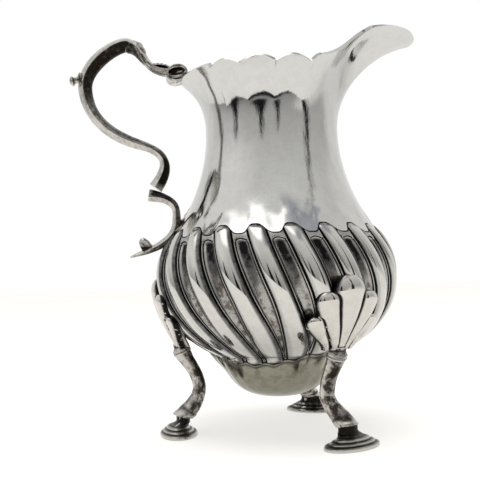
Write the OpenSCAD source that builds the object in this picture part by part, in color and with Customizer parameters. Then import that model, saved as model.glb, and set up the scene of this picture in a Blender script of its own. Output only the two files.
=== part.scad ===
// A small silver cream jug: a pear-shaped body with a spiral-fluted belly, a pulled lip,
// a double-scroll handle and three legs on pad feet. Millimetres, +Z up, lip towards +X.
// The origin lies on the table, under the middle of the jug's overall length.

/* [Body] */
// Diameter of the belly over its lobes
belly_d = 66.4; // [62:0.2:70]
// Height of the widest ring of the belly
belly_z = 42; // [41:0.5:43]
// Height of the lower chased border, where the flutes end on the plain bowl
low_border_z = 20.8; // [20:0.2:22]
// Height of the upper chased border, where the flutes end on the plain neck
top_border_z = 54; // [53:0.5:55]
// Lowest point of the plain bowl
bowl_z = 9.4; // [8.6:0.2:11]
// Diameter of the neck at its waist
waist_d = 36.6; // [34:0.2:40]
// Height of the neck's waist
waist_z = 82; // [78:1:84]
// Thickness of the raised silver sheet
wall = 0.8; // [0.6:0.1:1.2]

/* [Flutes] */
// Number of convex lobes round the belly
lobes = 20; // [16:1:24]
// Depth of the hollow flutes below the lobes
flute_depth = 2.1; // [1:0.1:2.6]
// Angle by which a lobe turns between the two borders
flute_twist = 24; // [0:1:36]

/* [Rim and lip] */
// Diameter of the flared rim
rim_d = 49.6; // [48:0.2:52]
// Height of the rim between its scallops
rim_z = 95.4; // [94:0.2:97]
// Rise of each scallop of the rim
scallop = 1.6; // [0:0.1:2.2]
// Reach of the lip's tip in front of the body's axis
lip_reach = 41.4; // [38:0.2:44]
// Width of the lip's channel outside
lip_w = 18.2; // [15:0.2:21]
// Height of the lip's edge
lip_z = 109.8; // [107:0.2:112]

/* [Handle] */
// Reach of the handle's spur behind the body's axis
spur_reach = 55.3; // [54:0.1:57]
// Width of the handle's strap from side to side
handle_w = 5.6; // [4:0.1:7]

/* [Legs] */
// Distance from the body's axis to the middle of a foot
foot_reach = 27.8; // [26:0.2:30]
// Width of a pad foot along the foot's circle
foot_w = 16.4; // [13:0.2:18]
// Depth of a pad foot, towards and away from the axis
foot_d = 10.2; // [9:0.2:12]
// Thickness of the leg at the middle of its bend
shank_d = 3.5; // [3.2:0.1:4.4]
// Angle by which the near leg's knee stands round from its foot
near_lean = 5.6; // [0:0.2:7]

/* [Hidden] */

body_x = (spur_reach - lip_reach) / 2;
belly_r = belly_d / 2;
waist_r = waist_d / 2;
rim_r = rim_d / 2;
low_rise = 24.8;
top_rise = 23.7;
lobe_steps = 6;
neck_steps = 72;
leg_angles = [180, -60.4, 60];
leg_leans = [0, near_lean, 0];
knee_z = 24;
knee_r = 27.2;
cuff_z = 5.2;

silver = "#c9c7c2";
dark_silver = "#8f8b84";
pale_silver = "#dddad4";

// Point on a cubic curve through its first and last control points
function bezier(p, t) = pow(1 - t, 3) * p[0] + 3 * pow(1 - t, 2) * t * p[1]
    + 3 * (1 - t) * t * t * p[2] + pow(t, 3) * p[3];
function curve(p, steps) = [for (i = [0:steps]) bezier(p, i / steps)];
function mix(a, b, t) = a + (b - a) * t;
function unit(v) = v / norm(v);
// 0 up to t0, 1 from t1, and a smooth step between them
function ease(t0, t1, t) = let (s = min(1, max(0, (t - t0) / (t1 - t0)))) s * s * (3 - 2 * s);

// A solid skinned over rings that have the same number of points.
// A closed one joins its last ring to its first; an open one is capped at both ends.
module loft(rings, closed = false) {
    n = len(rings[0]);
    count = len(rings);
    last = closed ? count - 1 : count - 2;
    sides = [for (i = [0:last]) for (j = [0:n - 1])
        let (a = i * n + j, b = i * n + (j + 1) % n,
             c = ((i + 1) % count) * n + (j + 1) % n, d = ((i + 1) % count) * n + j)
        each [[a, b, c], [a, c, d]]];
    caps = closed ? [] : [
        [for (j = [n - 1:-1:0]) j],
        [for (j = [0:n - 1]) (count - 1) * n + j]];
    polyhedron(points = [for (r = rings) each r], faces = concat(sides, caps));
}

// Rings of a flat bar along a path in the XZ plane. Each stop is [x, z, thickness, width],
// and the section is a flattened octagon with a ridge along its outer face.
function bar_ring(stop, dir) = let (nx = -dir[1], nz = dir[0], h = stop[2] / 2, w = stop[3] / 2)
    [for (s = [[0, 1.15], [0.55, 0.8], [1, 0.15], [0.85, -0.6], [0, -0.85],
               [-0.85, -0.6], [-1, 0.15], [-0.55, 0.8]])
        [stop[0] + nx * h * s[1], w * s[0], stop[1] + nz * h * s[1]]];
module bar(stops) {
    n = len(stops) - 1;
    loft([for (i = [0:n])
        let (a = stops[max(0, i - 1)], b = stops[min(n, i + 1)])
        bar_ring(stops[i], unit([b[0] - a[0], b[1] - a[1]]))]);
}

// Radius of the belly's outer form, over the lobes, at height z
function belly_at(z) = let (rise = z < belly_z ? low_rise : top_rise)
    belly_r * sqrt(1 - pow((z - belly_z) / rise, 2));
neck_foot_r = belly_at(top_border_z) - 0.7;
neck_curve = [[neck_foot_r, top_border_z], [neck_foot_r - 4.4, top_border_z + 6],
              [waist_r, waist_z - 12], [waist_r, waist_z]];
bowl_top_r = belly_at(low_border_z) - 0.4;
bowl_curve = [[0, bowl_z], [bowl_top_r * 0.63, bowl_z], [bowl_top_r * 0.8, bowl_z + 3.9],
              [bowl_top_r, low_border_z]];

// Half of the lip's edge, from the rim at the side to the tip
lip_side = [[rim_r * 0.42, rim_r * 0.9, rim_z + 2.2], [rim_r * 0.72, rim_r * 0.7, rim_z + 4.4],
            [lip_reach * 0.5, lip_w * 0.54, lip_z - 4], [lip_reach * 0.665, lip_w / 2, lip_z - 0.8]];
lip_end = [[lip_reach * 0.665, lip_w / 2, lip_z - 0.8], [lip_reach * 0.83, lip_w * 0.46, lip_z + 1.6],
           [lip_reach * 0.995, lip_w * 0.56, lip_z - 2.8], [lip_reach, 0, lip_z - 2.6]];
lip_angle = 65;
notch_angle = 137;

// Rim point at azimuth a, 0 at the lip and 180 at the handle
function rim_height(a) = a > notch_angle ? rim_z + 1.2
    : rim_z + scallop * abs(sin((a - notch_angle) * 180 / 21));
function rim_point(a) = let (s = 1 - abs(a) / lip_angle)
    s <= 0 ? let (z = mix(rim_z + 2.2, rim_height(abs(a)), ease(lip_angle, lip_angle + 14, abs(a))))
        [rim_r * cos(a), rim_r * sin(a), z]
    : let (e = s < 0.6 ? bezier(lip_side, s / 0.6) : bezier(lip_end, (s - 0.6) / 0.4))
        [e[0], a < 0 ? -e[1] : e[1], e[2]];

// Column of the neck at azimuth a: straight up the neck, then out along the flare or the lip
function column(a, inset) =
    let (d = [cos(a), sin(a), 0], top = rim_point(a), out = unit([top[0], top[1], 0]),
         reach = norm([top[0], top[1]]),
         pull = ease(lip_angle, 0, abs(a)),
         base = waist_r * d + [0, 0, waist_z],
         lean = mix(5.2, reach * 0.34, pull), drop = mix(4.6, 3.2, pull),
         flare = [base, base + [0, 0, 6 + 4 * pull], top - lean * out - [0, 0, drop], top])
    concat([for (p = curve(neck_curve, 8)) [(p[0] - inset) * d[0], (p[0] - inset) * d[1], p[1]]],
           [for (i = [1:7]) let (p = bezier(flare, i / 7)) p - inset * mix(1, 0.75, i / 7) * out
               + [0, 0, inset * 0.6 * i / 7]]);

module neck_and_lip() {
    color(pale_silver)
    translate([body_x, 0, 0])
    loft([for (i = [0:neck_steps - 1]) let (a = -180 + i * 360 / neck_steps)
        concat(column(a, wall), [for (k = [15:-1:0]) column(a, 0)[k]])], closed = true);
}

// Depth of the flutes at height z, none at either border
function relief(z) = flute_depth * ease(low_border_z, low_border_z + 5, z)
    * ease(top_border_z, top_border_z - 3, z);
function turn(z) = flute_twist * (top_border_z - z) / (top_border_z - low_border_z);
function fluted(a, z) = belly_at(z) - relief(z) * (0.5 - 0.5 * cos(a * lobes))
    - 0.7 * ease(top_border_z - 1.5, top_border_z, z) - 0.4 * ease(low_border_z + 1.5, low_border_z, z);
belly_levels = [for (i = [0:12]) mix(low_border_z, top_border_z, i / 12)];
function belly_column(a, inset) = [for (z = belly_levels)
    let (r = fluted(a, z) - inset, b = a + turn(z)) [r * cos(b), r * sin(b), z]];

module fluted_belly() {
    count = lobes * lobe_steps;
    color(silver)
    translate([body_x, 0, 0])
    loft([for (i = [0:count - 1]) let (a = i * 360 / count, inner = belly_column(a, wall))
        concat(inner, [for (k = [12:-1:0]) belly_column(a, 0)[k]])], closed = true);
}

module base_bowl() {
    outer = curve(bowl_curve, 16);
    color(silver)
    translate([body_x, 0, 0])
    rotate_extrude($fn = 96)
    polygon(concat(outer, [[bowl_top_r - wall, low_border_z]],
        [for (i = [15:-1:1]) outer[i] + [-wall * i / 16, wall * (1.1 - 0.9 * i / 16)]],
        [[0, bowl_z + wall]]));
}

// The handle's centre lines, from the body's axis, as cubic curves in the XZ plane
upper_curves = [
    [[-28.4, 99.2], [-32.6, 99.6], [-34, 101.4], [-35.4, 103.4]],
    [[-35.4, 103.4], [-36.6, 105], [-37.4, 105.8], [-38.8, 106.2]],
    [[-38.8, 106.2], [-40.2, 108.2], [-51.4, 101.5], [-50.8, 94.4]],
    [[-50.8, 94.4], [-50.2, 86.1], [-43.8, 81.6], [-37.2, 79.4]],
    [[-37.2, 79.4], [-33.3, 78.1], [-25.8, 76], [-32.6, 66.6]]];
lower_curves = [
    [[-34, 65.4], [-26, 63.9], [-27, 61], [-26.9, 57.8]],
    [[-26.9, 57.8], [-27.4, 52.3], [-32.4, 50.5], [-39.4, 48.4]]];
// thick holds the bar's thickness where the curves begin and end
function handle_stops(curves, thick, w) = [for (c = [0:len(curves) - 1])
    for (i = [c == 0 ? 0 : 1:8])
        let (t = (c + i / 8) / len(curves), p = bezier(curves[c], i / 8))
        [p[0], p[1], mix(thick[c], thick[c + 1], i / 8), mix(w, w * 0.7, t)]];

module handle_upper_scroll() {
    color(dark_silver)
    translate([body_x, 0, 0])
    bar(handle_stops(upper_curves, [2.6, 2.2, 3.4, 3.5, 2.5, 3.6], handle_w));
}

module handle_lower_scroll() {
    color(dark_silver)
    translate([body_x, 0, 0])
    bar(handle_stops(lower_curves, [2.6, 2.1, 1.5], handle_w * 0.72));
}

// A leaf that lies over the handle's shoulder and drops towards the rim
module handle_thumb_leaf() {
    color(dark_silver)
    translate([body_x, 0, 0])
    bar([for (i = [0:8]) let (t = i / 8,
            p = bezier([[-42.4, 107.2], [-38.6, 108.3], [-35.6, 108], [-33.6, 102.2]], t))
        [p[0], p[1], 0.9, handle_w * (0.35 + 1.1 * sin(180 * pow(t, 0.8)) * (1 - 0.3 * t))]]);
}

module handle_spur() {
    length = spur_reach - 52;
    color(dark_silver)
    translate([body_x - 52, 0, 97.2])
    rotate([0, -102, 0])
    rotate_extrude($fn = 32)
    polygon([[0, 0], [1.5, 0], [1, length * 0.3], [0.75, length * 0.55],
             [1, length * 0.72], [0.8, length * 0.9], [0, length]]);
}

module handle_rim_leaf() {
    color(dark_silver)
    translate([body_x, 0, 0])
    bar([for (i = [0:8]) let (t = i / 8,
            p = bezier([[-33.2, 101], [-31.4, 102.3], [-29.6, 101.6], [-28.4, 101]], t))
        [p[0], p[1], 0.9, handle_w * (0.7 + 0.3 * sin(180 * t))]]);
}

// A rolled knuckle with an open end, soldered to the rim behind the handle
module handle_rim_mount() {
    roll_d = 4.6;
    roll_w = 7;
    bore_d = 2.4;
    color(dark_silver)
    translate([body_x - 26.2, 0, 98.5])
    rotate([90, 0, 0])
    difference() {
        cylinder(h = roll_w, d = roll_d, center = true, $fn = 40);
        translate([0.4, 0.4, roll_w / 4]) cylinder(h = roll_w / 2 + 1, d = bore_d, $fn = 32);
        translate([0.4, 0.4, -roll_w * 0.75 - 1]) cylinder(h = roll_w / 2 + 1, d = bore_d, $fn = 32);
    }
}

// The upright curl at the tail, above the handle's pointed end
module handle_tail_curl() {
    color(dark_silver)
    translate([body_x, 0, 0])
    bar([for (i = [0:8]) let (t = i / 8,
            p = bezier([[-35.2, 50.4], [-36, 51.6], [-36.9, 52.4], [-36.4, 54]], t))
        [p[0], p[1], mix(2.2, 0.9, t), handle_w * mix(0.5, 0.3, t)]]);
}

// A thin leaf that spreads the lower scroll's load over the neck and the belly
module handle_belly_plate() {
    color(silver)
    translate([body_x, 0, 0])
    bar([for (i = [0:8]) let (t = i / 8,
            p = bezier([[-23.6, 62.4], [-25.2, 60.2], [-26.6, 57.4], [-28.6, 55.4]], t))
        [p[0], p[1], 0.8, handle_w * (0.5 + 0.9 * sin(180 * t))]]);
}

// A thin wall between an outer and an inner grid of points, which have the same rows
module slab(outer, inner) {
    rows = len(outer);
    cols = len(outer[0]);
    size = rows * cols;
    skin = [for (i = [0:rows - 2]) for (j = [0:cols - 2])
        let (a = i * cols + j, b = a + 1, c = a + cols + 1, d = a + cols)
        each [[a, b, c], [a, c, d], [size + a, size + c, size + b], [size + a, size + d, size + c]]];
    rim = concat([for (j = [0:cols - 1]) j], [for (i = [1:rows - 1]) i * cols + cols - 1],
        [for (j = [cols - 2:-1:0]) (rows - 1) * cols + j], [for (i = [rows - 2:-1:1]) i * cols]);
    edge = [for (k = [0:len(rim) - 1]) let (a = rim[k], b = rim[(k + 1) % len(rim)])
        each [[b, a, size + a], [b, size + a, size + b]]];
    polyhedron(points = concat([for (r = outer) each r], [for (r = inner) each r]),
        faces = concat(skin, edge));
}

// Five lobes fan out from the knee and lie on the belly. The edges are angles between lobes.
shell_edges = [-19, -13.2, -6.4, 6.4, 13.2, 19];
shell_tops = [32, 38.2, 42.4, 38.2, 32];
shell_steps = 5;
shell_rows = 9;
knee_half_angle = 5.4;
// Point of the shell at v up from the knee and column j across it
function shell_point(v, j, inner) =
    let (count = 5 * shell_steps, lobe = min(4, floor(j / shell_steps)), part = j / shell_steps - lobe,
         u = 2 * j / count - 1, across = sin(180 * part),
         z = mix(knee_z, shell_tops[lobe] - 4 * pow(1 - across, 2), v),
         a = mix(knee_half_angle * u, mix(shell_edges[lobe], shell_edges[lobe + 1], part), pow(v, 0.8)),
         swell = 0.2 + (0.3 + 1.9 * pow(across, 0.7)) * (1 - pow(v, 5)) * mix(0.6, 1, v),
         front = mix(knee_r + 1.3, belly_at(33), min(1, (z - knee_z) / (33 - knee_z))),
         r = inner ? belly_at(z) - 0.7
             : belly_at(z) + max(0, front - belly_at(z)) * (1 - 0.7 * u * u) + swell)
    [r * cos(a), r * sin(a), z];
module leg_shell(angle) {
    count = 5 * shell_steps;
    color(silver)
    translate([body_x, 0, 0])
    rotate([0, 0, angle])
    slab([for (i = [0:shell_rows]) [for (j = [0:count]) shell_point(i / shell_rows, j, false)]],
         [for (i = [0:shell_rows]) [for (j = [0:count]) shell_point(i / shell_rows, j, true)]]);
}

// The leg: an oval bar bent inwards between the knee and the foot, flared at both ends
leg_curves = [
    [[foot_reach - 1.2, cuff_z - 0.2], [23.2, 7.6], [22.1, 10.2], [21.9, 12.2]],
    [[21.9, 12.2], [22.2, 17.7], [25.9, 19.5], [knee_r, knee_z + 0.4]]];
function leg_flare(t) = 1 + 0.4 * pow(abs(2 * t - 1), 4);
// The knee of a leaning leg stands round from its foot by the angle lean
module leg_shank(angle, lean) {
    sides = 12;
    stops = concat(curve(leg_curves[0], 7), [for (i = [1:7]) bezier(leg_curves[1], i / 7)]);
    color(dark_silver)
    translate([body_x, 0, 0])
    rotate([0, 0, angle])
    loft([for (i = [0:14])
        let (a = stops[max(0, i - 1)], b = stops[min(14, i + 1)], d = unit(b - a),
             r = shank_d / 2 * leg_flare(i / 14), turned = -lean * ease(0, 0.5, i / 14))
        [for (j = [0:sides - 1])
            let (c = 360 * j / sides, x = stops[i][0] - d[1] * r * cos(c), y = -1.2 * r * sin(c))
            [x * cos(turned) - y * sin(turned), x * sin(turned) + y * cos(turned),
             stops[i][1] + d[0] * r * cos(c)]]]);
}

// The stepped pad under a leg, an oval that is wider along the foot's circle
pad_outline = concat([[1, 0], [1, 0.9], [0.84, 1.3], [0.8, 1.7]],
    curve([[0.68, 2], [0.46, 2.6], [0.36, 3.1], [0.36, cuff_z - 1.2]], 5), [[0.36, cuff_z]]);
pad_sides = 48;
module pad_foot(angle) {
    color(dark_silver)
    translate([body_x, 0, 0])
    rotate([0, 0, angle])
    loft([for (p = pad_outline) let (round = ease(2, cuff_z, p[1]), x = foot_reach - 1.2 * round,
            d = p[0] * foot_d / 2, w = p[0] * mix(foot_w, foot_w * 0.95, round) / 2)
        [for (j = [0:pad_sides - 1]) let (c = 360 * j / pad_sides)
            [x + d * cos(c), w * sin(c), p[1]]]]);
}

module rear_shell() { leg_shell(leg_angles[0] - leg_leans[0]); }
module rear_leg() { leg_shank(leg_angles[0], leg_leans[0]); }
module rear_foot() { pad_foot(leg_angles[0]); }
module near_shell() { leg_shell(leg_angles[1] - leg_leans[1]); }
module near_leg() { leg_shank(leg_angles[1], leg_leans[1]); }
module near_foot() { pad_foot(leg_angles[1]); }
module far_shell() { leg_shell(leg_angles[2] - leg_leans[2]); }
module far_leg() { leg_shank(leg_angles[2], leg_leans[2]); }
module far_foot() { pad_foot(leg_angles[2]); }

neck_and_lip();
fluted_belly();
base_bowl();
handle_upper_scroll();
handle_lower_scroll();
handle_thumb_leaf();
handle_spur();
handle_rim_leaf();
handle_rim_mount();
handle_tail_curl();
handle_belly_plate();
rear_shell();
rear_leg();
rear_foot();
near_shell();
near_leg();
near_foot();
far_shell();
far_leg();
far_foot();
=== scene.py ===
from math import atan2, cos, degrees, exp, hypot, pi, radians, sin, sqrt, tau

import bmesh
import bpy
from mathutils import Matrix, Vector, noise


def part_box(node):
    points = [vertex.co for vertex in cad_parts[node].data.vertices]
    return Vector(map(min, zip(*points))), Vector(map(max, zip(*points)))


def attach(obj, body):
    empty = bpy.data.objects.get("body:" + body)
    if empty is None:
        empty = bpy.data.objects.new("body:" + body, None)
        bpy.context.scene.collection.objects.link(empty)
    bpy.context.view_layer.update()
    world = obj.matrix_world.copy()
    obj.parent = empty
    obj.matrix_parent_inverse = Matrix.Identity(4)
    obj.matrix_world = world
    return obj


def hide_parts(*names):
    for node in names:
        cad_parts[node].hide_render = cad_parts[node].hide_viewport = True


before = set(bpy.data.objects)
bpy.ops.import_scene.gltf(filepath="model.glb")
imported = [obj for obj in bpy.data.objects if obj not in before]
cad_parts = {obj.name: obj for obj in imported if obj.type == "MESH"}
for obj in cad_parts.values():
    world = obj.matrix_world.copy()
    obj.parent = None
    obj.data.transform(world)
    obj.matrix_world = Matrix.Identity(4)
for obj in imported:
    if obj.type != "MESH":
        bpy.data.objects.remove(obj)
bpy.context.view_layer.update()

MM = 0.001

# ---------------------------------------------------------------- measures, in millimetres
bowl_low, bowl_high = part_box("base_bowl")
neck_low, neck_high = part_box("neck_and_lip")
spur_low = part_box("handle_spur")[0]
AXIS_X = (bowl_low.x + bowl_high.x) / 2 / MM
BOWL_Z = bowl_low.z / MM
LOW_BORDER = bowl_high.z / MM
TOP_BORDER = neck_low.z / MM
LIP_REACH = neck_high.x / MM - AXIS_X
SPUR_REACH = AXIS_X - spur_low.x / MM
WALL = 0.8

BELLY_R = 33.2
BELLY_Z = 42
LOW_RISE = 24.8
TOP_RISE = 23.7
LOW_BORDER_R = 17.7
WAIST_R = 18.3
WAIST_Z = 82
RIM_R = 24.8
RIM_Z = 95.4
SCALLOP = 1.6
LIP_HALF = 9.1
LIP_Z = 109.8
LOBES = 20
TWIST = 24
FLUTE_DEPTH = 2.2
FOOT_REACH = 27.8
KNEE_Z = 24
CUFF_Z = 5.2
# Angle of each foot round the axis, how far round from it the knee stands, and the direction of
# the leg's side that is painted dark brown as shade, from its outer face
LEGS = {"rear": (180, 0, 150), "near": (-60.4, -5.6, 12), "far": (60, 0, 180)}


# ---------------------------------------------------------------- small helpers
def mix(a, b, t):
    return a + (b - a) * t


def ease(start, end, t):
    s = min(1, max(0, (t - start) / (end - start)))
    return s * s * (3 - 2 * s)


def dome(t):
    """Rises from 0 at t = 0 to 1 at t = 1 along a quarter circle."""
    t = min(1, max(0, t))
    return sqrt(1 - (1 - t) ** 2)


def tapered(stops, t):
    """Value at t on straight runs between (place, value) stops."""
    for (start, first), (end, last) in zip(stops, stops[1:]):
        if t <= end:
            return mix(first, last, (t - start) / (end - start))
    return stops[-1][1]


def bead(place, centre, size):
    return exp(-((place - centre) / size) ** 2)


def bezier(points, t):
    a, b, c, d = (Vector(p) for p in points)
    return a * (1 - t) ** 3 + b * 3 * (1 - t) ** 2 * t + c * 3 * (1 - t) * t * t + d * t ** 3


def along(curves, t):
    """Point and direction at t from 0 to 1 along cubic curves that follow each other."""
    scaled = min(max(t, 0), 1) * len(curves)
    index = min(int(scaled), len(curves) - 1)
    here = scaled - index
    step = 0.01
    ahead = bezier(curves[index], min(here + step, 1))
    behind = bezier(curves[index], max(here - step, 0))
    return bezier(curves[index], here), (ahead - behind).normalized()


def polar(r, angle, z):
    a = radians(angle)
    return Vector((r * cos(a), r * sin(a), z))


# ---------------------------------------------------------------- modelling
def store(piece, name, values):
    """Gives each point of a piece a number that its material reads."""
    layer = piece.data.attributes.new(name, "FLOAT", "POINT")
    layer.data.foreach_set("value", values)


def tube(name, sides, levels, place, capped=True, numbers=None):
    """A unit cylinder raised ring by ring, then bent: place(turn, level) gives each point.

    Where numbers is given, numbers(turn, level) is a set of named values that the point keeps."""
    bpy.ops.object.select_all(action="DESELECT")
    fill = "TRIFAN" if capped else "NOTHING"
    bpy.ops.mesh.primitive_circle_add(vertices=sides, radius=1, fill_type=fill)
    piece = bpy.context.object
    piece.name = piece.data.name = name
    bpy.ops.object.mode_set(mode="EDIT")
    bpy.ops.mesh.select_all(action="SELECT")
    for _ in range(levels):
        bpy.ops.mesh.extrude_region_move(TRANSFORM_OT_translate={"value": (0, 0, 1 / levels)})
    bpy.ops.object.mode_set(mode="OBJECT")
    kept = []
    for vertex in piece.data.vertices:
        x, y, z = vertex.co
        level = round(z * levels) / levels
        turn = round(atan2(y, x) / tau * sides) / sides % 1
        if hypot(x, y) < 0.5:
            ring = [place(k / sides, level) for k in range(sides)]
            vertex.co = sum(ring, Vector()) / sides * MM
        else:
            vertex.co = place(turn, level) * MM
        if numbers:
            kept.append(numbers(turn, level))
    for key in kept[0] if kept else ():
        store(piece, key, [values[key] for values in kept])
    return piece


def pick(piece):
    """Selects one piece alone and makes it the active one."""
    bpy.ops.object.select_all(action="DESELECT")
    piece.select_set(True)
    bpy.context.view_layer.objects.active = piece


def edit(piece, *steps):
    """Runs edit-mode steps on the whole of a piece."""
    pick(piece)
    bpy.ops.object.mode_set(mode="EDIT")
    bpy.ops.mesh.select_all(action="SELECT")
    for step in steps:
        step()
    bpy.ops.object.mode_set(mode="OBJECT")


def modify(piece, kind, **values):
    """Adds a modifier with the given values and applies it."""
    pick(piece)
    modifier = piece.modifiers.new(kind.title(), kind)
    for key, value in values.items():
        setattr(modifier, key, value)
    bpy.ops.object.modifier_apply(modifier=modifier.name)


def outward(piece):
    """Merges doubled points and turns the faces outwards."""
    edit(piece, lambda: bpy.ops.mesh.remove_doubles(threshold=0.00001),
         lambda: bpy.ops.mesh.normals_make_consistent(inside=False))


def join(name, pieces):
    bpy.ops.object.select_all(action="DESELECT")
    for piece in pieces:
        piece.select_set(True)
    bpy.context.view_layer.objects.active = pieces[0]
    bpy.ops.object.join()
    piece = bpy.context.object
    piece.name = piece.data.name = name
    return piece


def shell(piece):
    """Turns an open skin round the axis into sheet metal, thickened inwards."""
    outward(piece)
    facing = sum(face.area * face.normal.xy.dot(face.center.xy) for face in piece.data.polygons)
    if facing < 0:
        edit(piece, bpy.ops.mesh.flip_normals)
    modify(piece, "SOLIDIFY", thickness=WALL * MM, offset=-1, use_even_offset=False)


def turn_about_axis(piece, angle):
    piece.data.transform(Matrix.Rotation(radians(angle), 4, "Z"))


def settle(piece, node, material, angle=40):
    """Puts a piece on the body's axis, hides the imported part it stands for and gives it its finish."""
    piece.data.transform(Matrix.Translation((AXIS_X * MM, 0, 0)))
    pick(piece)
    bpy.ops.object.shade_smooth_by_angle(angle=radians(angle))
    piece.data.materials.clear()
    piece.data.materials.append(material)
    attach(piece, "root")
    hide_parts(node)


# ---------------------------------------------------------------- camera
def place_camera():
    """Low and close, level with the belly, looking across the handle and the lip."""
    bearing, distance, height = VIEW_BEARING, 203.64, 44.15
    swing, tilt, lean = radians(2.71), radians(-2.3), radians(-1.67)
    bpy.ops.object.camera_add()
    camera = bpy.context.object
    camera.name = "camera"
    camera.data.sensor_width = 36
    camera.data.lens = 54.88
    camera.data.clip_start = 0.01
    camera.location = Vector((AXIS_X + distance * sin(bearing), -distance * cos(bearing), height)) * MM
    level = Matrix.Rotation(bearing + swing, 3, "Z") @ Matrix.Rotation(pi / 2 - tilt, 3, "X")
    camera.rotation_euler = (level @ Matrix.Rotation(lean, 3, "Z")).to_euler()
    bpy.context.scene.camera = camera


# ---------------------------------------------------------------- materials
def calc(tree, operation, *terms, clamp=False):
    """A maths node on numbers or sockets; gives its output socket."""
    made = tree.nodes.new("ShaderNodeMath")
    made.operation = operation
    made.use_clamp = clamp
    for socket, term in zip(made.inputs, terms):
        if isinstance(term, (int, float)):
            socket.default_value = term
        else:
            tree.links.new(term, socket)
    return made.outputs[0]


def fade(tree, source, full, gone):
    """1 where the source is at full, smoothly down to 0 where it is at gone."""
    made = tree.nodes.new("ShaderNodeMapRange")
    made.interpolation_type = "SMOOTHSTEP"
    low, high = min(full, gone), max(full, gone)
    made.inputs["From Min"].default_value = low
    made.inputs["From Max"].default_value = high
    made.inputs["To Min"].default_value = 1 if full < gone else 0
    made.inputs["To Max"].default_value = 0 if full < gone else 1
    tree.links.new(source, made.inputs["Value"])
    return made.outputs["Result"]


def blend(tree, factor, first, second):
    """Mixes two colours, each a socket or three numbers."""
    made = tree.nodes.new("ShaderNodeMix")
    made.data_type = "RGBA"
    terms = ((made.inputs[0], factor), (made.inputs[6], first), (made.inputs[7], second))
    for socket, term in terms:
        if isinstance(term, tuple):
            socket.default_value = (*term, 1)
        elif isinstance(term, (int, float)):
            socket.default_value = term
        else:
            tree.links.new(term, socket)
    return made.outputs[2]


def cloud(tree, place, scale, detail, roughness):
    made = tree.nodes.new("ShaderNodeTexNoise")
    made.inputs["Scale"].default_value = scale
    made.inputs["Detail"].default_value = detail
    made.inputs["Roughness"].default_value = roughness
    tree.links.new(place, made.inputs["Vector"])
    return made.outputs["Fac"]


def stretched(tree, place, scale, rotation=(0, 0, 0)):
    made = tree.nodes.new("ShaderNodeMapping")
    made.inputs["Scale"].default_value = scale
    made.inputs["Rotation"].default_value = rotation
    tree.links.new(place, made.inputs["Vector"])
    return made.outputs["Vector"]


def attribute(tree, name):
    made = tree.nodes.new("ShaderNodeAttribute")
    made.attribute_name = name
    return made.outputs["Fac"]


def patina_group():
    """Old silver: oxide in the hollows, tarnish in patches and specks, edges worn bright; on some pieces
    the same oxide and tarnish also carry painted shade.
    """
    tree = bpy.data.node_groups.new("patina", "ShaderNodeTree")
    for name, kind in (("Silver", "Color"), ("Tarnish_And_Shade", "Color"), ("Oxide_And_Shade", "Color"),
                       ("Tarnish Amount", "Float"), ("Oxide Amount", "Float"),
                       ("Polish", "Float"), ("Hollow_And_Shade", "Float")):
        tree.interface.new_socket(name, in_out="INPUT", socket_type=f"NodeSocket{kind}")
    for name, kind in (("Colour", "Color"), ("Roughness", "Float"), ("Height", "Float")):
        tree.interface.new_socket(name, in_out="OUTPUT", socket_type=f"NodeSocket{kind}")
    given = tree.nodes.new("NodeGroupInput").outputs
    result = tree.nodes.new("NodeGroupOutput").inputs
    place = tree.nodes.new("ShaderNodeTexCoord").outputs["Object"]
    shape = tree.nodes.new("ShaderNodeNewGeometry").outputs["Pointiness"]

    worn = fade(tree, shape, 0.57, 0.515)
    kept = calc(tree, "MULTIPLY_ADD", worn, -0.8, 1.0)
    patches = fade(tree, cloud(tree, place, 420, 5, 0.72), 0.64, 0.42)
    specks = fade(tree, cloud(tree, place, 1300, 3, 0.6), 0.68, 0.58)
    stain = calc(tree, "MULTIPLY_ADD", specks, 0.5, patches)
    stain = calc(tree, "MULTIPLY", stain, given["Tarnish Amount"])
    stain = calc(tree, "MULTIPLY", stain, kept, clamp=True)
    dips = fade(tree, shape, 0.42, 0.49)
    hollows_and_shade = calc(tree, "MAXIMUM", dips, given["Hollow_And_Shade"])
    ragged = calc(tree, "MULTIPLY_ADD", cloud(tree, place, 700, 4, 0.65), 0.8, 0.7)
    oxide_and_shade = calc(tree, "MULTIPLY", hollows_and_shade, ragged)
    oxide_and_shade = calc(tree, "MULTIPLY", oxide_and_shade, given["Oxide Amount"])
    oxide_and_shade = calc(tree, "MULTIPLY", oxide_and_shade, kept, clamp=True)
    stained_and_shaded = blend(tree, stain, given["Silver"], given["Tarnish_And_Shade"])
    tree.links.new(blend(tree, oxide_and_shade, stained_and_shaded, given["Oxide_And_Shade"]), result["Colour"])

    dull = calc(tree, "MULTIPLY_ADD", stain, 0.08, given["Polish"])
    tree.links.new(calc(tree, "MULTIPLY_ADD", oxide_and_shade, 0.35, dull, clamp=True), result["Roughness"])

    brushed = stretched(tree, place, (1, 1, 0.12), (0.5, 0.3, 0))
    scratches = cloud(tree, brushed, 2600, 3, 0.7)
    dents = cloud(tree, stretched(tree, place, (1, 1, 0.45)), 150, 1.5, 0.4)
    tree.links.new(calc(tree, "MULTIPLY_ADD", scratches, 0.03, dents), result["Height"])
    return tree


PATINA = patina_group()


def hollow_and_shade_of(tree):
    return attribute(tree, "hollow")


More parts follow.
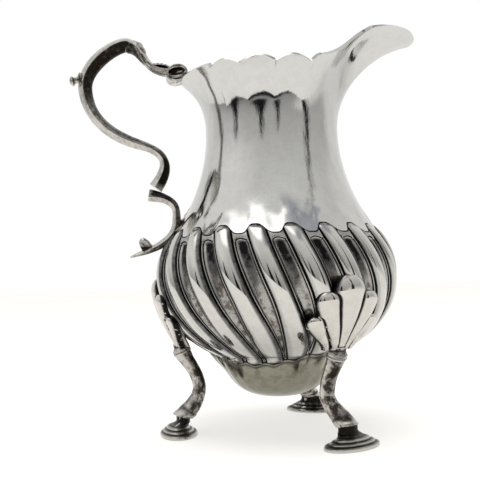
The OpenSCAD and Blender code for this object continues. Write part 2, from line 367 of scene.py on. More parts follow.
def chased_oxide_and_shade(tree):
    """Black lines round lobes, flutes and borders, darker flanks with painted shade heavier on one side
    of each lobe, and dark flute beds.
    """
    into_lobe = attribute(tree, "into_lobe")
    lobe_line = fade(tree, calc(tree, "ABSOLUTE", calc(tree, "ADD", into_lobe, 0.08)), 0.2, 0.42)
    flank = calc(tree, "MULTIPLY", fade(tree, into_lobe, 0.1, 1.3), 0.35)
    # Painted shade along the lobes' flanks, heavier on one side as the shaded attribute gives
    shaded_side = fade(tree, calc(tree, "ABSOLUTE", calc(tree, "SUBTRACT", into_lobe, 0.3)), 0.3, 0.9)
    shade = calc(tree, "MULTIPLY", shaded_side, attribute(tree, "shaded"))
    flute_line = fade(tree, calc(tree, "ABSOLUTE", attribute(tree, "into_flute")), 0.06, 0.26)
    border = fade(tree, calc(tree, "ABSOLUTE", attribute(tree, "border_gap")), 0.26, 0.5)
    hollows_and_shade = attribute(tree, "hollow")
    for other in (lobe_line, flute_line, border, flank, shade):
        hollows_and_shade = calc(tree, "MAXIMUM", hollows_and_shade, other)
    return hollows_and_shade


def silver(name, bright, tarnish_and_shade, oxide_and_shade, tarnish_amount, oxide_amount, polish, dents,
           hollow=hollow_and_shade_of):
    """Polished silver under the patina group; hollows and painted shade come from the piece's own
    attributes.
    """
    material = bpy.data.materials.new(name)
    material.use_nodes = True
    tree = material.node_tree
    shader = tree.nodes["Principled BSDF"]
    shader.inputs["Metallic"].default_value = 1
    patina = tree.nodes.new("ShaderNodeGroup")
    patina.node_tree = PATINA
    for socket, value in (("Silver", bright), ("Tarnish_And_Shade", tarnish_and_shade), ("Oxide_And_Shade", oxide_and_shade)):
        patina.inputs[socket].default_value = (*value, 1)
    patina.inputs["Oxide Amount"].default_value = oxide_amount
    patina.inputs["Polish"].default_value = polish
    spread = calc(tree, "MULTIPLY", attribute(tree, "stain"), tarnish_amount)
    tree.links.new(spread, patina.inputs["Tarnish Amount"])
    tree.links.new(hollow(tree), patina.inputs["Hollow_And_Shade"])
    bump = tree.nodes.new("ShaderNodeBump")
    bump.inputs["Strength"].default_value = 1
    bump.inputs["Distance"].default_value = dents * MM
    tree.links.new(patina.outputs["Height"], bump.inputs["Height"])
    tree.links.new(patina.outputs["Colour"], shader.inputs["Base Color"])
    tree.links.new(patina.outputs["Roughness"], shader.inputs["Roughness"])
    tree.links.new(bump.outputs["Normal"], shader.inputs["Normal"])
    return material


# Dark colours of oxide in the hollows, also used as painted shade on the lobes' flanks, the legs and the
# handle's inner faces
BLACK_OXIDE_AND_SHADE = (0.012, 0.011, 0.012)
BROWN_OXIDE_AND_SHADE = (0.018, 0.015, 0.012)
NECK_SILVER = silver("neck_silver", (0.59, 0.585, 0.57), (0.48, 0.46, 0.42), BLACK_OXIDE_AND_SHADE,
                     0.25, 0.4, 0.07, 0.5)
CHASED_SILVER = silver("chased_silver", (0.59, 0.58, 0.55), (0.20, 0.165, 0.145), BLACK_OXIDE_AND_SHADE,
                       1.0, 1.0, 0.08, 0.12, hollow=chased_oxide_and_shade)
# The bowl's silver is darkened all over as painted shade, for the shadow under the body
SHADED_BOWL_SILVER = silver("shaded_bowl_silver", (0.29, 0.28, 0.225), (0.18, 0.165, 0.12), BLACK_OXIDE_AND_SHADE,
                     0.8, 1.0, 0.16, 0.12)
SHELL_SILVER = silver("shell_silver", (0.60, 0.58, 0.54), (0.30, 0.25, 0.19), BLACK_OXIDE_AND_SHADE,
                      0.5, 1.0, 0.07, 0.05)
# Its dark brown tarnish also paints shade on the legs' dark sides and on the far foot
CAST_SILVER = silver("cast_silver", (0.53, 0.51, 0.47), (0.07, 0.058, 0.045), BROWN_OXIDE_AND_SHADE,
                     1.0, 1.0, 0.08, 0.08)


def mark(piece, hollow_at, stain_and_shade_at=lambda p: 1):
    """Stores how deep in a groove each point lies, 0 to 1, and how much tarnish it keeps, which on the
    far foot is painted shade.

    Both are worked out from the point's place in millimetres."""
    places = [vertex.co / MM for vertex in piece.data.vertices]
    store(piece, "hollow", [min(1, max(0, hollow_at(p))) for p in places])
    store(piece, "stain", [stain_and_shade_at(p) for p in places])


# ---------------------------------------------------------------- body
def belly_at(z):
    """Radius over the lobes."""
    if z >= BELLY_Z:
        return BELLY_R * sqrt(1 - ((z - BELLY_Z) / TOP_RISE) ** 2)
    round_form = BELLY_R * sqrt(max(0, 1 - ((z - BELLY_Z) / LOW_RISE) ** 2))
    return max(round_form, LOW_BORDER_R + 0.4 * (z - 20))


# Height of the plain silver against the lobes, and the neck's outline from border to waist
PLAIN = -0.75
NECK_FOOT = belly_at(TOP_BORDER) + PLAIN
NECK_CURVE = [(NECK_FOOT, 0, TOP_BORDER), (NECK_FOOT - 4.4, 0, TOP_BORDER + 6),
              (WAIST_R, 0, WAIST_Z - 12), (WAIST_R, 0, WAIST_Z)]
# Half the angle that the lip takes up, and where the rim's scallops start beside the handle
LIP_ANGLE = 65
NOTCH_ANGLE = 137
SCALLOP_ANGLE = 21
LIP_SIDE = [(RIM_R * 0.42, RIM_R * 0.9, RIM_Z + 2.2), (RIM_R * 0.72, RIM_R * 0.7, RIM_Z + 4.4),
            (LIP_REACH * 0.5, LIP_HALF * 1.08, LIP_Z - 4), (LIP_REACH * 0.665, LIP_HALF, LIP_Z - 0.8)]
LIP_END = [(LIP_REACH * 0.665, LIP_HALF, LIP_Z - 0.8), (LIP_REACH * 0.83, LIP_HALF * 0.92, LIP_Z + 1.6),
           (LIP_REACH * 0.995, LIP_HALF * 1.12, LIP_Z - 2.8), (LIP_REACH, 0, LIP_Z - 2.6)]


def turned_by(z):
    return TWIST * (TOP_BORDER - z) / (TOP_BORDER - LOW_BORDER)


def top_border(lobe_angle):
    """The chased border arches over each lobe and dips between them."""
    wave = radians(lobe_angle * LOBES)
    return TOP_BORDER + 0.1 + 1.3 * (cos(wave) - 0.12 * cos(3 * wave))


def top_border_at(azimuth):
    z = TOP_BORDER
    for _ in range(4):
        z = top_border(azimuth - turned_by(z))
    return z


def low_border(lobe_angle):
    """The lower border rises beside each leg and is scalloped by the ends of the lobes."""
    azimuth = lobe_angle + TWIST
    beside = max(bead((azimuth - foot - lean + 180) % 360 - 180, 0, 25)
                 for foot, lean, _ in LEGS.values())
    uneven = 0.25 * noise.noise(Vector((cos(radians(azimuth)), sin(radians(azimuth)), 0)) * 4)
    return LOW_BORDER - 1.0 + 2.2 * beside + uneven - 0.38 * cos(radians(lobe_angle * LOBES))


def neck_at(z):
    """Radius of the plain neck's cone just over and under the border."""
    return NECK_FOOT - (z - TOP_BORDER) * 0.73 + 0.01 * (z - TOP_BORDER) ** 2


# Level of the neck's waist, and the share of the lip's edge that lies on its side curve
WAIST_LEVEL = 0.45
LIP_SIDE_SHARE = 0.6


def rim_height(angle):
    if angle > NOTCH_ANGLE:
        return RIM_Z + 1.2
    return RIM_Z + SCALLOP * abs(sin(radians((angle - NOTCH_ANGLE) * 180 / SCALLOP_ANGLE)))


def rim_point(angle):
    """The rim at an angle from the lip; the lip's edge runs from the rim to its tip."""
    size = abs(angle)
    along_lip = 1 - size / LIP_ANGLE
    if along_lip <= 0:
        z = mix(RIM_Z + 2.2, rim_height(size), ease(LIP_ANGLE, LIP_ANGLE + 8, size))
        return polar(RIM_R, angle, z)
    if along_lip < LIP_SIDE_SHARE:
        edge = bezier(LIP_SIDE, along_lip / LIP_SIDE_SHARE)
    else:
        edge = bezier(LIP_END, (along_lip - LIP_SIDE_SHARE) / (1 - LIP_SIDE_SHARE))
    return Vector((edge.x, edge.y if angle > 0 else -edge.y, edge.z))


def neck_point(turn, level):
    angle = turn * 360 if turn <= 0.5 else turn * 360 - 360
    way = polar(1, angle, 0)
    if level < WAIST_LEVEL:
        t = level / WAIST_LEVEL
        curve = bezier(NECK_CURVE, t)
        z = curve.z + (top_border_at(angle) - TOP_BORDER) * (1 - ease(0, 0.3, t))
        r = curve.x if t > 0.3 else mix(neck_at(z), curve.x, ease(0, 0.3, t))
        return way * r + Vector((0, 0, z))
    t = (level - WAIST_LEVEL) / (1 - WAIST_LEVEL)
    top = rim_point(angle)
    out = Vector((top.x, top.y, 0))
    reach = out.length
    out.normalize()
    pull = ease(LIP_ANGLE, 0, abs(angle))
    base = way * WAIST_R + Vector((0, 0, WAIST_Z))
    lean = mix(5.2, reach * 0.34, pull)
    drop = mix(4.6, 3.2, pull)
    return bezier([base, base + Vector((0, 0, 6 + 4 * pull)),
                   top - out * lean - Vector((0, 0, drop)), top], t)


def make_neck():
    piece = tube("neck_and_lip_sheet", 400, 64, neck_point, capped=False)
    shell(piece)
    mark(piece, lambda p: 0)
    settle(piece, "neck_and_lip", NECK_SILVER)


# Places across half a lobe and flute, closer together where the chased lines run
ACROSS = (0, 0.06, 0.12, 0.17, 0.205, 0.235, 0.255, 0.27, 0.285, 0.3, 0.32, 0.345, 0.39, 0.445)
LOBE_HALF = 0.255
FLUTE_EDGE = 0.32
# Lobes spread towards the bottom, until only narrow grooves are left between them
SPREAD = ((0, 0), (LOBE_HALF, 0.17), (FLUTE_EDGE, 0.13), (0.5, 0))
LOBE_SIDES = 2 * len(ACROSS)
# How much painted shade darkens the two flanks of a lobe, the shaded one and the lit one
SHADED_FLANK_DARKNESS = 0.75
LIT_FLANK_DARKNESS = 0.25


def across_lobe(step):
    """Signed place in the pattern of a step round the belly: 0 on a crest, 0.5 in a flute."""
    half = len(ACROSS)
    if step < half:
        return ACROSS[step]
    if step == half:
        return 0.5
    return -ACROSS[2 * half - step]


def chased(part, pitch, top_gap, low_gap):
    """How far a place lies inside a lobe and inside a flute, and its height, in millimetres."""
    into_lobe = min((LOBE_HALF - part) * pitch, top_gap * 0.9, low_gap * 0.9)
    across = (0.5 - part) / (0.5 - FLUTE_EDGE)
    arch = 1.3 + 1.5 * (1 - sqrt(max(0, 1 - across ** 2)))
    into_flute = min((part - FLUTE_EDGE) * pitch, (top_gap - arch) * 0.9,
                     (low_gap - 0.8 - 2.6 * across ** 2) * 0.6)
    ground = PLAIN - 0.35 * ease(0, 3, min(top_gap, low_gap))
    line = exp(-abs(into_lobe) / 0.19) + exp(-abs(into_flute) / 0.22)
    height = ground - 0.36 * min(1, line)
    if into_lobe > 0:
        height -= ground * dome(into_lobe / 2.8)
    if into_flute > 0:
        height -= (FLUTE_DEPTH + ground) * dome(into_flute / 1.5)
    return into_lobe, into_flute, height


def belly_spot(turn, level):
    """Everything about one point of the belly: its pattern values and its place."""
    step = round(turn * LOBES * LOBE_SIDES)
    part = across_lobe(step % LOBE_SIDES)
    lobe_angle = (step // LOBE_SIDES + (part if part >= 0 else 1 + part)) * 360 / LOBES
    low, high = low_border(lobe_angle), top_border(lobe_angle)
    z = mix(low, high, 0.5 - 0.5 * cos(pi * level))
    size = abs(part)
    widen = tapered(SPREAD, size) * ease(38, 21, z)
    shift = widen if part > 0 else -widen
    pitch = tau * belly_at(z) / LOBES
    into_lobe, into_flute, height = chased(size, pitch, high - z, z - low)
    azimuth = lobe_angle + shift * 360 / LOBES + turned_by(z)
    bed = ease(0.1, 0.9, into_flute)
    gap = high - z
    values = {"into_lobe": into_lobe, "into_flute": into_flute, "border_gap": min(gap, (z - low) * 0.6),
              # shaded: how much painted shade the flank on this side of the crest gets
              "shaded": SHADED_FLANK_DARKNESS if part > 0 else LIT_FLANK_DARKNESS,
              "hollow": bed * mix(1, 0.35, ease(3, 16, gap)),
              "stain": 0.1 + 1.1 * bed * ease(5, 14, gap)}
    return values, polar(belly_at(z) + height, azimuth, z)


def make_belly():
    piece = tube("fluted_belly_sheet", LOBES * LOBE_SIDES, 72,
                 lambda turn, level: belly_spot(turn, level)[1], capped=False,
                 numbers=lambda turn, level: belly_spot(turn, level)[0])
    shell(piece)
    settle(piece, "fluted_belly", CHASED_SILVER, 60)


# The bowl's outline from its middle to its top ring
BOWL_R = 16.9
BOWL_TOP = 19.6
BOWL_CURVE = [(0.4, 0, BOWL_Z), (BOWL_R * 0.63, 0, BOWL_Z), (BOWL_R * 0.8, 0, BOWL_Z + 3.9),
              (BOWL_R, 0, BOWL_TOP)]


def bowl_point(turn, level):
    """The plain bowl; near its top it follows the chased border up and out."""
    azimuth = turn * 360
    top = low_border(azimuth - TWIST)
    curve = bezier(BOWL_CURVE, level)
    r = curve.x + (belly_at(top) + PLAIN - BOWL_R) * ease(0.7, 1.05, level) / ease(0.7, 1.05, 1)
    return polar(r, azimuth, curve.z + (top - BOWL_TOP) * level ** 4)


def bowl_numbers(turn, level):
    """Oxide just under the chased border, and more tarnish towards it."""
    return {"hollow": ease(0.945, 0.99, level), "stain": 0.5 + 0.5 * ease(0.6, 0.9, level)}


def make_bowl():
    piece = tube("base_bowl_sheet", 280, 40, bowl_point, capped=False, numbers=bowl_numbers)
    close_pole(piece, BOWL_Z * MM)
    shell(piece)
    settle(piece, "base_bowl", SHADED_BOWL_SILVER)


def close_pole(piece, height):
    """Fills the small hole left at a turned form's pole."""
    mesh = bmesh.new()
    mesh.from_mesh(piece.data)
    rim = [e for e in mesh.edges if e.is_boundary and max(v.co.z for v in e.verts) < height + 0.0002]
    bmesh.ops.contextual_create(mesh, geom=rim)
    mesh.to_mesh(piece.data)
    mesh.free()


# ---------------------------------------------------------------- handle
UPPER_SCROLL = [
    [(-28.4, 0, 99.2), (-32.6, 0, 99.6), (-34, 0, 101.4), (-35.4, 0, 103.4)],
    [(-35.4, 0, 103.4), (-36.6, 0, 105), (-37.4, 0, 105.8), (-38.8, 0, 106.2)],
    [(-38.8, 0, 106.2), (-40.2, 0, 108.2), (-51.4, 0, 101.5), (-50.8, 0, 94.4)],
    [(-50.8, 0, 94.4), (-50.2, 0, 86.1), (-43.8, 0, 81.6), (-37.2, 0, 79.4)],
    [(-37.2, 0, 79.4), (-33.3, 0, 78.1), (-25.8, 0, 76), (-32.4, 0, 67)]]
UPPER_THICKNESS = ((0, 2.9), (0.09, 2.2), (0.13, 1.9), (0.2, 2.5), (0.3, 3.0), (0.4, 3.6), (0.52, 4.0),
                   (0.6, 3.5), (0.66, 3.0), (0.76, 2.9), (0.85, 2.2), (0.92, 2.2), (1, 3.6))
UPPER_WIDTH = ((0, 4.4), (0.13, 3.4), (0.3, 5.0), (0.45, 5.8), (0.7, 5.4), (0.9, 4.0), (1, 4.6))
LOWER_SCROLL = [
    [(-34.4, 0, 65.3), (-26, 0, 63.9), (-27, 0, 61), (-26.9, 0, 57.8)],
    [(-26.9, 0, 57.8), (-27.4, 0, 52.3), (-32.4, 0, 50.5), (-39.8, 0, 48.3)]]
LOWER_THICKNESS = ((0, 3.2), (0.12, 2.3), (0.35, 1.9), (0.5, 2.2), (0.75, 2.1), (0.9, 1.5), (1, 0.5))
LOWER_WIDTH = ((0, 4.8), (0.2, 3.8), (0.6, 3.6), (0.85, 3.0), (1, 0.6))
# How much painted shade darkens the inner face along each scroll
UPPER_INNER_SHADE = ((0, 0.4), (0.3, 0.8), (0.42, 0.95), (0.6, 0.9), (0.68, 0.4), (0.86, 0.3),
              (0.93, 0.9), (1, 1))
LOWER_INNER_SHADE = ((0, 0.9), (0.3, 0.75), (0.6, 0.5), (0.8, 0.6), (1, 0.1))
THUMB_LEAF = [[(-33.2, 0, 101.3), (-34.2, 0, 102.6), (-34.2, 0, 105), (-35.2, 0, 106.6)],
              [(-35.2, 0, 106.6), (-36.2, 0, 108.2), (-38.6, 0, 108.2), (-42.6, 0, 107.2)]]
RIM_LEAF = [[(-27.6, 0, 100.6), (-29.6, 0, 101.8), (-31.6, 0, 101.9), (-33.8, 0, 101)]]
TAIL_CURL = [[(-34.9, 0, 50.2), (-35.4, 0, 51.3), (-36.4, 0, 52), (-36.2, 0, 53.6)]]
BELLY_PLATE = [[(-22.4, 0, 62.6), (-24.4, 0, 60), (-26, 0, 57), (-29, 0, 54.6)]]


def strap(name, curves, section, sides=32, levels=96, numbers=None):
    """A bar along curves in the handle's plane; section(turn, level) gives (side, height)."""
    def place(turn, level):
        centre, ahead = along(curves, level)
        outer = Vector((ahead.z, 0, -ahead.x))
        side, height = section(turn, level)
        return centre + outer * height + Vector((0, side, 0))
    piece = tube(name, sides, levels, place, numbers=numbers)
    outward(piece)
    return piece


# Height of the crease between a strap's two faces, as a share of its thickness
CREASE = 0.14


def creased(thickness, width):
    """A strap with a rib along its outer face, whose two faces meet in a crease at each side."""
    def section(turn, level):
        side = cos(turn * tau)
        flank = abs(side)
        if sin(turn * tau) > 0:
            height = CREASE + (0.5 - CREASE) * (1 - flank ** 1.7) + 0.08 * bead(side, 0, 0.2)
        else:
            height = CREASE - (0.5 + CREASE) * (1 - flank ** 2.2)
        return side * tapered(width, level) / 2, height * tapered(thickness, level)
    return section


def shaded_inside(darkness):
    """Painted shade on the inner face of a strap, as deep as darkness gives along it, and oxide at the
    crease.
    """
    def numbers(turn, level):
        inside = ease(0.02, -0.25, sin(turn * tau))
        crease = bead(sin(turn * tau), 0, 0.14) * 0.85
        return {"hollow": max(crease, inside * tapered(darkness, level)), "stain": 0.45 + 0.4 * inside}
    return numbers


def folded_leaf(width, fold, gauge):
    """A thin leaf with a midrib and veins, whose sides fold down over what it lies on."""
    def section(turn, level):
        side = cos(turn * tau)
        spread = max(0.02, sin(pi * min(1, 0.04 + 0.96 * level))) ** 0.6
        veins = 0.07 * cos(abs(side) * 9 - level * 34) * (1 - abs(side))
        height = -fold * spread * abs(side) ** 1.6 + veins + 0.16 * bead(side, 0, 0.14)
        under = 0 if sin(turn * tau) > 0 else gauge * sqrt(max(0, 1 - side * side))
        return side * width / 2 * spread, height - under
    return section


def bud(width, thickness):
    def section(turn, level):
        end = dome((1 - level) / 0.4)
        return (cos(turn * tau) * width / 2 * end * mix(1, 0.8, level),
                sin(turn * tau) * thickness / 2 * end * mix(1, 0.8, level))
    return section


SPUR_ROOT = (-51.8, 0, 97.2)


def spur_point(turn, level):
    """A turned bud on the back of the handle: a flared neck, a bead and a fine point."""
    length = SPUR_REACH + SPUR_ROOT[0]
    profile = mix(2, 0.85, ease(0, 0.45, level)) + 0.55 * bead(level, 0.76, 0.13)
    r = profile * dome((1 - level) / 0.16)
    local = Vector((r * cos(turn * tau), r * sin(turn * tau), level * length))
    local.rotate(Matrix.Rotation(radians(-102), 3, "Y"))
    return Vector(SPUR_ROOT) + local


def make_rim_mount():
    """A rolled knuckle across the rim: an oval roll with hollowed ends and bright lips."""
    bpy.ops.object.select_all(action="DESELECT")
    bpy.ops.mesh.primitive_cylinder_add(vertices=56, radius=1, depth=2, end_fill_type="NGON")
    piece = bpy.context.object
    bpy.ops.object.mode_set(mode="EDIT")
    bpy.ops.transform.rotate(value=pi / 2, orient_axis="X", center_override=(0, 0, 0))
    for end in (-1, 1):
        mesh = bmesh.from_edit_mesh(piece.data)
        for face in mesh.faces:
            face.select = face.normal.y * end > 0.9
        bmesh.update_edit_mesh(piece.data)
        bpy.ops.mesh.inset(thickness=0.24)
        bpy.ops.transform.resize(value=(1, 1, 0.62), center_override=(0, 0, 0.3))
        bpy.ops.mesh.extrude_region_move(TRANSFORM_OT_translate={"value": (0, -0.5 * end, 0)})
        bpy.ops.transform.resize(value=(0.86, 1, 0.8), center_override=(0, 0, 0.3))
    bpy.ops.mesh.select_all(action="SELECT")
    bpy.ops.transform.resize(value=(3.0 * MM, 3.4 * MM, 2.3 * MM), center_override=(0, 0, 0))
    bpy.ops.transform.rotate(value=radians(12), orient_axis="Y", center_override=(0, 0, 0))
    bpy.ops.transform.translate(value=(-26 * MM, 0, 98.4 * MM))
    bpy.ops.object.mode_set(mode="OBJECT")
    piece.name = piece.data.name = "handle_rim_mount_roll"
    modify(piece, "BEVEL", width=0.3 * MM, segments=3, limit_method="ANGLE", angle_limit=radians(40))
    mark(piece, lambda p: 1 if abs(p.y) < 3.0 and hypot((p.x + 26) / 2.3, (p.z - 99) / 1.4) < 1 else 0)
    settle(piece, "handle_rim_mount", CAST_SILVER)


def make_handle():
    upper = strap("handle_upper_scroll_cast", UPPER_SCROLL, creased(UPPER_THICKNESS, UPPER_WIDTH),
                  levels=120, numbers=shaded_inside(UPPER_INNER_SHADE))
    settle(upper, "handle_upper_scroll", CAST_SILVER, 35)
    lower = strap("handle_lower_scroll_cast", LOWER_SCROLL, creased(LOWER_THICKNESS, LOWER_WIDTH),
                  levels=72, numbers=shaded_inside(LOWER_INNER_SHADE))
    settle(lower, "handle_lower_scroll", CAST_SILVER, 35)
    leaf = strap("handle_thumb_leaf_cast", THUMB_LEAF, folded_leaf(5.8, 2.4, 0.6), levels=56)
    mark(leaf, lambda p: 0.2)
    settle(leaf, "handle_thumb_leaf", CAST_SILVER, 35)
    rim_leaf = strap("handle_rim_leaf_cast", RIM_LEAF, folded_leaf(5.6, 0.9, 0.6), levels=40)
    mark(rim_leaf, lambda p: 0.5 + 0.5 * sin(p.x * 6))
    settle(rim_leaf, "handle_rim_leaf", CAST_SILVER, 35)
    spur = tube("handle_spur_turned", 28, 28, spur_point)
    outward(spur)
    mark(spur, lambda p: ease(-53, -52, p.x))
    settle(spur, "handle_spur", CAST_SILVER)
    curl = strap("handle_tail_curl_cast", TAIL_CURL, bud(2.6, 3.2), sides=24, levels=24)
    mark(curl, lambda p: ease(51.8, 50.6, p.z))
    settle(curl, "handle_tail_curl", CAST_SILVER)
    plate = strap("handle_belly_plate_leaf", BELLY_PLATE, folded_leaf(8.0, 1.0, 0.7), levels=40)
    mark(plate, lambda p: 0.15)
    settle(plate, "handle_belly_plate", SHELL_SILVER)
    make_rim_mount()


# ---------------------------------------------------------------- legs
# Each lobe of a shell: angle at the knee and at the tip, height of the tip, half width, depth
# of the grooves beside it, and how much of its height the round end takes
LOBES_OF_SHELL = ((0, 0, 42.4, 4.7, 2, 0.24),
                  (-3, -10.6, 38.4, 3.5, 1.8, 0.2), (3, 10.6, 38.4, 3.5, 1.8, 0.2),
                  (-7, -15.6, 32.4, 2.6, 1.5, 0.26), (7, 15.6, 32.4, 2.6, 1.5, 0.26))
# Share of its full width that a lobe has, from the knee to its end
FINGER_SPREAD = ((0, 0.22), (0.2, 0.4), (0.4, 0.68), (0.6, 0.88), (0.78, 1), (1, 1))
SHELL_FOOT = KNEE_Z - 0.2


def shell_crest(z, angle):
    """Radius of the shell's crests: well out at the knee, close to the belly at the tips."""
    return belly_at(z) + 1.2 + 4.3 * exp(-(z - KNEE_Z) / 5.8) * bead(angle, 0, 24)


def finger_at(start, tip, half_width, round_part, level):
    """Angle and half width of a shell's finger at a level, and how far its end has rounded off."""
    end = dome((1 - level) / round_part)
    return mix(start, tip, ease(-0.1, 0.85, level)), half_width * tapered(FINGER_SPREAD, level) * end, end


def shell_lobe(start, tip, top, half_width, groove, round_part):
    """One finger of a shell, from the knee to its round end on the belly."""
    def place(turn, level):
        z = mix(SHELL_FOOT, top, level)
        angle, width, end = finger_at(start, tip, half_width, round_part, level)
        side, height = cos(turn * tau), sin(turn * tau)
        crest = shell_crest(z, angle)
        deep = mix(1.1, groove, ease(0, 0.5, level))
        if height > 0:
            r = crest - deep * (1 - height ** 0.85 * end)
        else:
            bed = max(crest - 3.4, belly_at(z) - 1.3)
            r = mix(crest - deep, bed, -height)
        return polar(r, angle + degrees(side * width / r), z)
    return tube("shell_lobe", 32, 48, place)


def shell_groove(point):
    """1 in the grooves between a shell's fingers and round their ends, 0 along their backs."""
    around = degrees(atan2(point.y, point.x))
    r = hypot(point.x, point.y)
    away = [3, 3]
    for start, tip, top, half_width, _, round_part in LOBES_OF_SHELL:
        level = (point.z - SHELL_FOOT) / (top - SHELL_FOOT)
        if level < 0.995:
            angle, width, _ = finger_at(start, tip, half_width, round_part, max(0, level))
            away.append(radians(abs(around - angle)) * r / width)
    first, second = sorted(away)[:2]
    between = ease(0.4, 0.12, second - first) * ease(1.5, 1.2, second)
    return max(ease(0.74, 0.96, first), between)


def make_shell(side, angle):
    fingers = [shell_lobe(*values) for values in LOBES_OF_SHELL]
    for finger in fingers:
        outward(finger)
    piece = join(f"{side}_shell_lobes", fingers)
    modify(piece, "REMESH", mode="VOXEL", voxel_size=0.16 * MM)
    modify(piece, "SMOOTH", factor=0.5, iterations=2)
    mark(piece, shell_groove, lambda p: 0.25 + 0.75 * ease(30, 25, p.z))
    turn_about_axis(piece, angle)
    settle(piece, f"{side}_shell", SHELL_SILVER, 60)


LEG_CURVES = [
    [(26.5, 0, 4.9), (23.2, 0, 7.6), (22.1, 0, 10.2), (21.9, 0, 12.2)],
    [(21.9, 0, 12.2), (22.2, 0, 17.7), (25.9, 0, 19.5), (27.2, 0, 24.8)]]
# Half the leg's depth and half its width: cuff, shank, two collar rings and the neck over them
LEG_DEPTH = ((0, 2.8), (0.03, 2.85), (0.1, 2.25), (0.2, 2.05), (0.35, 1.8), (0.5, 1.72), (0.7, 1.7),
             (0.82, 1.9), (0.89, 2.2), (0.905, 2.5), (0.92, 2.25), (0.935, 2.45), (0.95, 2.0),
             (0.965, 1.65), (1, 1.65))
LEG_WIDTH = ((0, 2.95), (0.03, 3.0), (0.1, 2.7), (0.2, 2.45), (0.35, 2.15), (0.5, 2.05), (0.7, 2.05),
             (0.82, 2.25), (0.89, 2.5), (0.905, 2.85), (0.92, 2.6), (0.935, 2.8), (0.95, 2.5),
             (0.965, 2.2), (1, 2.3))


def make_leg(side, foot, lean, painted_shade_side):
    def place(turn, level):
        centre, ahead = along(LEG_CURVES, level)
        ahead = (ahead + Vector((-0.1, 0, 3)) * ease(0.12, 0, level)).normalized()
        outer = Vector((ahead.z, 0, -ahead.x))
        a = turn * tau
        ridge = 1 + 0.09 * bead(1 - cos(a), 0, 0.06) - 0.04 * bead(abs(a - pi) - 0.62 * pi, 0, 0.2)
        point = (centre + outer * (tapered(LEG_DEPTH, level) * cos(a) * ridge)
                 + Vector((0, tapered(LEG_WIDTH, level) * sin(a), 0)))
        point.rotate(Matrix.Rotation(radians(foot + lean * ease(0, 0.5, level)), 3, "Z"))
        return point

    def numbers(turn, level):
        a = turn * tau
        # Painted shade darkens the leg on one side, through both its oxide and its tarnish
        leg_shade = ease(0.1, 0.7, cos(a - radians(painted_shade_side)))
        rings = max(bead(level, 0.92, 0.03), bead(level, 0.03, 0.03))
        joints = max(bead(level, 0.975, 0.014), 0.9 * bead(level, 0.92, 0.006),
                     0.8 * bead(level, 0.09, 0.02))
        shade_patch = 0.6 * leg_shade * (0.75 + 0.25 * cos(level * 9)) * (1 - 0.8 * rings)
        return {"hollow": max(shade_patch, joints),
                "stain": (0.75 + 1.4 * leg_shade) * (1 - 0.9 * rings)}
    piece = tube(f"{side}_leg_cast", 40, 120, place, numbers=numbers)
    outward(piece)
    settle(piece, f"{side}_leg", CAST_SILVER, 50)


# Rings of a pad foot from the table up: height, share of the base's size, and that of its plain
# inner side; three steps run round the outer side only
PAD = ((0, 1, 1), (0.75, 1, 0.98), (0.95, 0.93, 0.9), (1.05, 0.86, 0.86), (1.2, 0.84, 0.82),
       (1.5, 0.83, 0.75), (1.7, 0.76, 0.7), (1.8, 0.69, 0.67), (2, 0.67, 0.62), (2.3, 0.65, 0.56),
       (2.5, 0.58, 0.52), (2.65, 0.5, 0.49), (2.9, 0.46, 0.45), (3.3, 0.4, 0.4), (3.8, 0.36, 0.36),
       (CUFF_Z + 0.1, 0.36, 0.36))


PAD_HALF_DEPTH = 5.1
PAD_HALF_WIDTH = 8.2
STEM_HALF_WIDTH = 7.9
# Tarnish on each foot; the far foot's high value is painted shade that turns it nearly black
FOOT_TARNISH_AND_SHADE = {"rear": 0.08, "near": 0.08, "far": 1.6}


def make_foot(side, foot):
    rings = len(PAD) - 1

    def place(turn, level):
        z, outer, inner = PAD[round(level * rings)]
        a = turn * tau
        share = mix(inner, outer, ease(-0.35, 0.35, cos(a)))
        stem = ease(2.4, 3.6, z)
        half_width = mix(PAD_HALF_WIDTH, STEM_HALF_WIDTH, stem)
        return Vector((FOOT_REACH - 1.2 * stem + share * PAD_HALF_DEPTH * cos(a),
                       share * half_width * sin(a), z))
    piece = tube(f"{side}_foot_pad", 72, rings, place)
    outward(piece)
    modify(piece, "BEVEL", width=0.1 * MM, segments=2, limit_method="ANGLE", angle_limit=radians(22))
    # The far foot's tarnish here is painted shade
    mark(piece, lambda p: max(bead(p.z, 1.12, 0.26), bead(p.z, 1.88, 0.26), bead(p.z, 2.75, 0.3),
                              ease(2.8, 3.3, p.z)), lambda p: FOOT_TARNISH_AND_SHADE[side] * ease(0.4, 1.1, p.z))
    turn_about_axis(piece, foot)
    settle(piece, f"{side}_foot", CAST_SILVER, 35)


# ---------------------------------------------------------------- floor and light
# Towards the viewer and to the right of the jug, and where the table ends, in metres
VIEW_BEARING = radians(-8.94)
FRONT = Vector((sin(VIEW_BEARING), -cos(VIEW_BEARING), 0))
RIGHT = Vector((-FRONT.y, FRONT.x, 0))
TABLE_FRONT = 0.215
TABLE_WIDTH = 1.6
TABLE_DEPTH = 1.8
# Narrow dark uprights in front of the jug, which taper to a point at the top: direction round from
# the front and half width where the height is -0.3, in radians, and the height of the top; a
# height is the sine of the angle over the horizon
UPRIGHTS = ((-1.08, 0.2, 0.4), (-0.3, 0.2, 0.42), (0.2, 0.16, 0.34), (1.1, 0.12, 1.0))


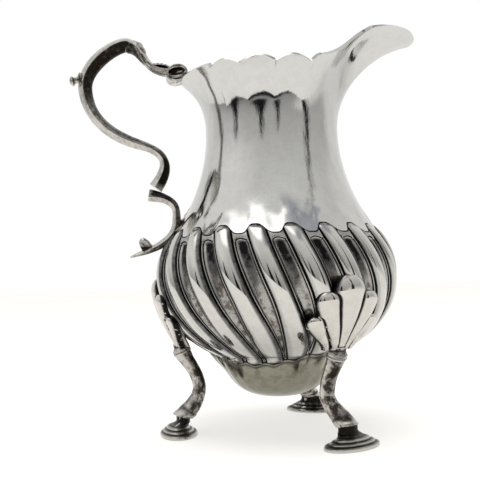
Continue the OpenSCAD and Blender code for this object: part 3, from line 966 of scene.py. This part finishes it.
def lay_table():
    """A pale table whose front edge lies TABLE_FRONT in front of the jug's axis."""
    bpy.ops.object.select_all(action="DESELECT")
    bpy.ops.mesh.primitive_plane_add(size=1)
    table = bpy.context.object
    table.name = "table"
    turned = Matrix.Rotation(atan2(RIGHT.y, RIGHT.x), 4, "Z")
    moved = Matrix.Translation((0, TABLE_DEPTH / 2 - TABLE_FRONT, 0))
    table.data.transform(turned @ moved @ Matrix.Diagonal((TABLE_WIDTH, TABLE_DEPTH, 1, 1)))
    paper = bpy.data.materials.new("paper")
    paper.use_nodes = True
    shader = paper.node_tree.nodes["Principled BSDF"]
    shader.inputs["Base Color"].default_value = (0.34, 0.335, 0.325, 1)
    shader.inputs["Emission Color"].default_value = (1, 0.985, 0.96, 1)
    shader.inputs["Emission Strength"].default_value = 0.64
    shader.inputs["Roughness"].default_value = 0.9
    shader.inputs["Specular IOR Level"].default_value = 0.1
    table.data.materials.append(paper)


def toward(tree, ray, way):
    made = tree.nodes.new("ShaderNodeVectorMath")
    made.operation = "DOT_PRODUCT"
    tree.links.new(ray, made.inputs[0])
    made.inputs[1].default_value = way
    return made.outputs["Value"]


def light_the_room():
    """A grey room, paler at the sides and behind, a softbox overhead and dark uprights in front."""
    world = bpy.data.worlds.new("studio")
    bpy.context.scene.world = world
    world.use_nodes = True
    tree = world.node_tree
    ray = tree.nodes.new("ShaderNodeTexCoord").outputs["Generated"]
    ahead, aside, height = (toward(tree, ray, way) for way in (FRONT, RIGHT, (0, 0, 1)))
    bearing = calc(tree, "ARCTAN2", aside, ahead)
    left_wall = calc(tree, "MULTIPLY_ADD", height, 1.05, 0.5)
    left_wall = blend(tree, left_wall, (0, 0, 0), (1, 1, 1))
    middle = blend(tree, calc(tree, "MULTIPLY_ADD", height, 0.42, 0.5), (0, 0, 0), (1, 1.005, 0.99))
    room = blend(tree, fade(tree, bearing, -1.3, -0.3), middle, left_wall)
    room = blend(tree, fade(tree, ahead, -0.5, -0.1), room, (0.9, 0.9, 0.89))
    ceiling = fade(tree, calc(tree, "ABSOLUTE", calc(tree, "SUBTRACT", height, 0.9)), 0.02, 0.1)
    to_right = fade(tree, aside, 0.3, 0.04)
    room = blend(tree, calc(tree, "MULTIPLY", ceiling, to_right), room, (0.47, 0.49, 0.54))
    right_wall = calc(tree, "MULTIPLY", fade(tree, bearing, 0.9, 0.6), fade(tree, height, -0.06, 0.12))
    room = blend(tree, right_wall, room, (0.88, 0.88, 0.86))
    tilted = calc(tree, "MULTIPLY_ADD", aside, -0.15, height)
    softbox = calc(tree, "MULTIPLY", fade(tree, tilted, 0.95, 0.86), fade(tree, aside, 0.02, 0.22))
    room = blend(tree, softbox, room, (1.9, 1.9, 1.9))
    dark = calc(tree, "MULTIPLY", fade(tree, height, -0.32, -0.25), fade(tree, bearing, 0.4, 0.6))
    for direction, half_width, top in UPRIGHTS:
        off = calc(tree, "ABSOLUTE", calc(tree, "SUBTRACT", bearing, direction))
        taper = calc(tree, "MULTIPLY_ADD", height, half_width / (top + 0.3), 0.0)
        narrow = calc(tree, "ADD", off, taper)
        limit = half_width * top / (top + 0.3)
        upright = calc(tree, "MULTIPLY", fade(tree, narrow, limit - 0.012, limit + 0.012),
                       fade(tree, height, -0.19, -0.25))
        dark = calc(tree, "MAXIMUM", dark, upright)
    room = blend(tree, dark, room, (0.012, 0.012, 0.014))
    seen = tree.nodes.new("ShaderNodeLightPath").outputs["Is Camera Ray"]
    background = tree.nodes["Background"]
    tree.links.new(blend(tree, seen, room, (1.0, 1.0, 1.0)), background.inputs["Color"])
    background.inputs["Strength"].default_value = 1.0

    bpy.ops.object.light_add(type="AREA", location=FRONT * 0.1 + Vector((0, 0, 0.6)))
    lamp = bpy.context.object
    lamp.name = "overhead_softbox"
    lamp.data.shape = "SQUARE"
    lamp.data.size = 0.42
    lamp.data.energy = 2.6
    lamp.visible_glossy = False


def main():
    place_camera()
    make_neck()
    make_belly()
    make_bowl()
    make_handle()
    for side, (foot, lean, painted_shade_side) in LEGS.items():
        make_shell(side, foot + lean)
        make_leg(side, foot, lean, painted_shade_side)
        make_foot(side, foot)
    lay_table()
    light_the_room()
    bpy.context.scene.view_settings.view_transform = "Standard"


main()
